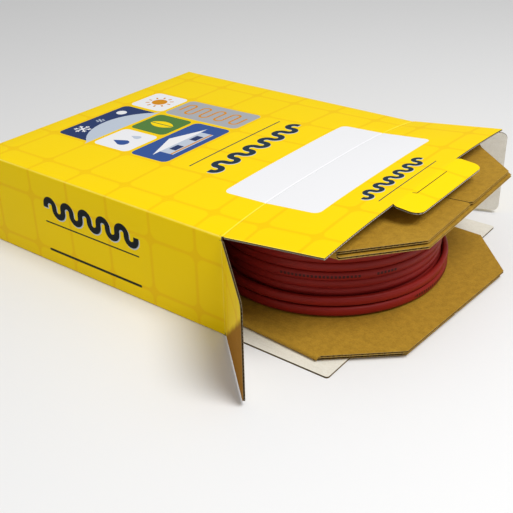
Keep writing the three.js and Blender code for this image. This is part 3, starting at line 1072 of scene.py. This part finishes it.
def bottom_flap():
    low = BLANK_START + HALF_WIDTH - BOTTOM_FLAP_HALF
    high = BLANK_START + HALF_WIDTH + BOTTOM_FLAP_HALF
    outline = tongue(MOUTH - CREASE_HALF, BOTTOM_FLAP_END, low, high, BOTTOM_FLAP_CORNER, 4)
    piece = board("bottom_flap_board", outline, bottom_flap_place, span_of(outline),
                  low + FLUTE_SIDE_INSET, high - FLUTE_SIDE_INSET,
                  lines_u=[MOUTH + BOTTOM_CREASE_WIDTH * k / 2 for k in range(-4, 5)],
                  slot="white_board")
    made = piece.make()
    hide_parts("bottom_flap")
    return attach(made, "carton")


# Reel
FLANGE_STRAIGHT = FLANGE_HALF - FLANGE_CHAMFER
FLANGE_FLAT = FLANGE_HALF - FLANGE_FOLD_RADIUS
FLANGE_ARC = math.pi * FLANGE_FOLD_RADIUS
FLANGE_REACH = FLANGE_FLAT * 2 + FLANGE_ARC - SEAM_HALF


def flange_local(x, b, depth):
    """The folded sheet: b runs from the middle of the full octagon over the fold to the wing's seam."""
    side = 1 if b > 0 else -1
    past = abs(b) - FLANGE_FLAT
    if past <= 0:
        return x, b, depth
    if past < FLANGE_ARC:
        angle = past / FLANGE_FOLD_RADIUS
        reach = FLANGE_FOLD_RADIUS - depth
        y = FLANGE_FLAT + reach * math.sin(angle)
        return x, side * y, FLANGE_FOLD_RADIUS - reach * math.cos(angle)
    return x, side * (FLANGE_FLAT - (past - FLANGE_ARC)), FLANGE_THICKNESS - depth


def flange_outline():
    """The unfolded sheet. Its quarter runs from the middle of one side to the wing's seam."""
    reach = FLANGE_HALF + FLANGE_STRAIGHT
    fold_start = FLANGE_FLAT
    fold_end = FLANGE_FLAT + FLANGE_ARC
    wing = FLANGE_HALF - WING_INSET
    wing_reach = reach - 2 * WING_INSET
    wing_corner = fold_end + FLANGE_FLAT - (wing_reach - wing)
    quarter = [
        (FLANGE_HALF, FLANGE_STRAIGHT),
        (reach - fold_start, fold_start),
        (wing_reach - FLANGE_FLAT, fold_end),
        (wing, wing_corner),
        (wing, FLANGE_REACH - SEAM_NOTCH),
        (wing - SEAM_NOTCH, FLANGE_REACH),
    ]
    half = quarter + [(-x, b) for x, b in reversed(quarter)]
    return half + [(-x, -b) for x, b in half]


def flange(name, node, place):
    piece = Piece(name, [kraft, kraft_edge, medium], "kraft_board")
    outline = flange_outline()
    arcs = [FLANGE_FLAT + FLANGE_ARC * k / 10 for k in range(11)]
    cut = net(outline, lines_s=arcs + [-b for b in arcs])

    def put(x, b, depth):
        return place(*flange_local(x, b, depth))

    piece.shell(cut, put, 0, LINER, 0, 1)
    piece.shell(cut, put, FLANGE_BOARD - LINER, FLANGE_BOARD, 0, 1)

    def base_span(x):
        reach = min(FLANGE_FLAT, FLANGE_HALF + FLANGE_STRAIGHT - abs(x)) - FLUTE_TIP_INSET
        return -reach, reach

    def wing_span(side):
        def span(x):
            slope = FLANGE_HALF + FLANGE_STRAIGHT - 2 * WING_INSET - abs(x)
            reach = min(FLANGE_FLAT, slope) - FLUTE_TIP_INSET
            low = FLANGE_FLAT + FLANGE_ARC + FLANGE_FLAT - reach
            high = FLANGE_REACH - FLUTE_TIP_INSET
            return (low, high) if side > 0 else (-high, -low)
        return span

    base = FLANGE_HALF - FLUTE_SIDE_INSET
    piece.flutes(base_span, put, FLANGE_BOARD, -base, base, 2, swap=True)
    wing = FLANGE_HALF - WING_INSET - SEAM_NOTCH
    for side in (-1, 1):
        piece.flutes(wing_span(side), put, FLANGE_BOARD, -wing, wing, 2, swap=True)
    made = piece.make(sharp=40)
    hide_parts(node)
    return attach(made, "carton")


def upper_flange_place(x, y, z):
    c, s = math.cos(UPPER_FLANGE_YAW), math.sin(UPPER_FLANGE_YAW)
    x, y = c * x - s * y, s * x + c * y
    c, s = math.cos(UPPER_FLANGE_TILT), math.sin(UPPER_FLANGE_TILT)
    x, z = c * x - s * z, s * x + c * z
    px, py, pz = UPPER_FLANGE_PLACE
    return px + x, py + y, pz + z


def lower_flange_place(x, y, z):
    """Turned over, so that its wings are underneath."""
    y, z = -y, -z
    c, s = math.cos(LOWER_FLANGE_YAW), math.sin(LOWER_FLANGE_YAW)
    px, py, pz = LOWER_FLANGE_PLACE
    return px + c * x - s * y, py + s * x + c * y, pz + z


# Cable
def superellipse(angle, width, thickness):
    c, s = math.cos(angle), math.sin(angle)
    radial = math.copysign(abs(c) ** (2 / CABLE_SQUARENESS), c) * thickness / 2
    upright = math.copysign(abs(s) ** (2 / CABLE_SQUARENESS), s) * width / 2
    return radial, upright


def wander(kinds, angle, k):
    """Slow waves round turn k. Each kind has its size, its waves a turn and its shift a turn."""
    return sum(size * math.sin(times * angle + shift * k) for size, times, shift in kinds)


def turn_height(layer, turn):
    if layer == LAYERS - 1:
        return OUTERMOST_TURNS[turn]
    upward = turn if layer % 2 == 0 else TURNS - 1 - turn
    if layer == LAYERS - 2:
        return FULL_LAYER_TURNS[upward]
    return COIL_BOTTOM + (upward + 0.5) * CABLE_WIDTH


def turn_radius(layer, turn):
    radius = BORE_RADIUS + (layer + 0.5) * CABLE_THICKNESS
    if layer == LAYERS - 2:
        radius -= FULL_LAYER_RECESS[TURNS - 1 - turn]
    return radius


def cable_path():
    """The middle of the cable: level turns that step over to the next behind, layer upon layer."""
    turns = [(layer, turn) for layer in range(LAYERS - 1) for turn in range(TURNS)]
    turns += [(LAYERS - 1, turn) for turn in range(OUTER_TURNS)]
    path = []
    for k, (layer, turn) in enumerate(turns):
        radius = turn_radius(layer, turn)
        height = turn_height(layer, turn)
        next_layer, next_turn = turns[min(k + 1, len(turns) - 1)]
        next_radius = turn_radius(next_layer, next_turn)
        next_height = turn_height(next_layer, next_turn)
        steps_here = OUTER_STEPS if layer >= LAYERS - FINE_LAYERS else INNER_STEPS
        for i in range(steps_here):
            angle = 2 * math.pi * i / steps_here
            left = 2 * math.pi - angle
            t = max(0, 1 - left / CROSSOVER)
            t = t * t * (3 - 2 * t)
            r = lerp(radius, next_radius, t) + wander(SWAY_WAVES, angle, k) - SWAY_MOST
            z = lerp(height, next_height, t) + wander(LIFT_WAVES, angle, k)
            path.append((angle + math.pi, r, z))
    return path


def cable_winding():
    piece = Piece("cable_winding", [jacket], "cable_jacket")
    path = cable_path()
    points, flat = [], []
    along = 0.0
    before = None
    width = CABLE_WIDTH - CABLE_CLEARANCE
    thickness = CABLE_THICKNESS - CABLE_CLEARANCE
    count = SECTION_POINTS
    section = [superellipse(2 * math.pi * k / count, width, thickness) for k in range(count)]
    for angle, r, z in path:
        here = Vector((REEL_X + r * math.cos(angle), REEL_Y + r * math.sin(angle), z))
        if before is not None:
            along += (here - before).length
        before = here
        for radial, upright in section:
            reach = r + radial
            x = REEL_X + reach * math.cos(angle)
            y = REEL_Y + reach * math.sin(angle)
            points.append((x, y, z + upright))
            flat.append((along, upright if radial > 0 else UNMARKED))
    faces = []
    for i in range(len(path) - 1):
        for k in range(count):
            n = (k + 1) % count
            faces.append((count * i + k, count * i + n, count * (i + 1) + n, count * (i + 1) + k))
    last = count * (len(path) - 1)
    faces.append(tuple(range(count)))
    faces.append(tuple(last + k for k in reversed(range(count))))
    piece.add(points, faces, [0] * len(faces), flat)
    made = piece.make(sharp=60, weld=False)
    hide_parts("cable_coil")
    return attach(made, "carton")


def dress_cad_nodes():
    """The hidden pieces keep their CAD shape and get the board's finish."""
    hidden_print = solid_board("hidden_print", colour(222, 190, 10), colour(236, 206, 20))
    hidden_white = solid_board("hidden_white", colour(206, 200, 184), colour(226, 222, 208))
    hidden_kraft = solid_board("hidden_kraft", colour(142, 100, 22), colour(172, 128, 38))
    finishes = {
        "rear_bottom_flap": hidden_print,
        "rear_dust_flap_near": hidden_white,
        "rear_dust_flap_far": hidden_white,
        "core_tube": hidden_kraft,
    }
    for name, material in finishes.items():
        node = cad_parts[name]
        node.data.materials.clear()
        node.data.materials.append(material)


# Stage, light and camera
CAMERA_PLACE = Vector((0.51579, -0.58168, 0.39019))
CAMERA_AIM = Vector((0.11458, -0.06489, 0.02350))
CAMERA_ROLL = math.radians(-1.19)
CAMERA_LENS = 59.99
CAMERA_SENSOR = 36
KEY_PLACE = Vector((1.08, -0.2, 1.55))
KEY_AIM = Vector((0.12, 0, 0.05))
KEY_SIZE = 0.9
KEY_POWER = 25
SKY_LOW = 0.24
SKY_HIGH = 0.6
FLOOR_HALF = 6
FLOOR_GREY = 0.82


def aim(thing, place, target, roll=0):
    turn = (target - place).to_track_quat("-Z", "Y")
    thing.location = place
    thing.rotation_mode = "QUATERNION"
    thing.rotation_quaternion = turn @ Quaternion((0, 0, 1), roll)


def add_camera():
    data = bpy.data.cameras.new("camera")
    data.sensor_width = CAMERA_SENSOR
    data.lens = CAMERA_LENS
    data.clip_start = 0.01
    data.clip_end = 20
    camera = in_scene("camera", data)
    aim(camera, CAMERA_PLACE, CAMERA_AIM, CAMERA_ROLL)
    bpy.context.scene.camera = camera


def add_key_light():
    data = bpy.data.lights.new("key", "AREA")
    data.shape = "DISK"
    data.size = KEY_SIZE
    data.energy = KEY_POWER
    aim(in_scene("key", data), KEY_PLACE, KEY_AIM)


def add_light():
    """One large lamp and a white surround that grows brighter upwards."""
    add_key_light()
    world = bpy.data.worlds.new("studio")
    world.use_nodes = True
    tree = world.node_tree
    background = tree.nodes["Background"]
    direction = tree.nodes.new("ShaderNodeTexCoord")
    parts = tree.nodes.new("ShaderNodeSeparateXYZ")
    ramp = tree.nodes.new("ShaderNodeMapRange")
    ramp.inputs["To Min"].default_value = SKY_LOW
    ramp.inputs["To Max"].default_value = SKY_HIGH
    tree.links.new(direction.outputs["Generated"], parts.inputs[0])
    tree.links.new(parts.outputs[2], ramp.inputs[0])
    tree.links.new(ramp.outputs[0], background.inputs[1])
    background.inputs[0].default_value = (1, 1, 1, 1)
    bpy.context.scene.world = world
    bpy.context.scene.view_settings.view_transform = "Standard"


def add_floor():
    mesh = bpy.data.meshes.new("floor")
    points = [(u, s, 0) for u, s in rectangle(-FLOOR_HALF, -FLOOR_HALF, FLOOR_HALF, FLOOR_HALF)]
    mesh.from_pydata(points, [], [(0, 1, 2, 3)])
    mesh.materials.append(Nodes("floor").finish((FLOOR_GREY, FLOOR_GREY, FLOOR_GREY, 1), 0.8, 0.2))
    in_scene("floor", mesh)


add_camera()
add_light()
add_floor()
carton_shell()
top_crease()
top_flap()
tab_crease()
tuck_tab()
dust_flap("dust_flap_near_board", "dust_flap_near", "dust_flap_near", -1, NEAR_DUST_FLAP_SWING)
dust_flap("dust_flap_far_board", "dust_flap_far", "dust_flap_far", 1, FAR_DUST_FLAP_SWING)
bottom_flap()
flange("lower_flange_board", "lower_flange", lower_flange_place)
flange("upper_flange_board", "upper_flange", upper_flange_place)
cable_winding()
dress_cad_nodes()

bpy.context.view_layer.update()
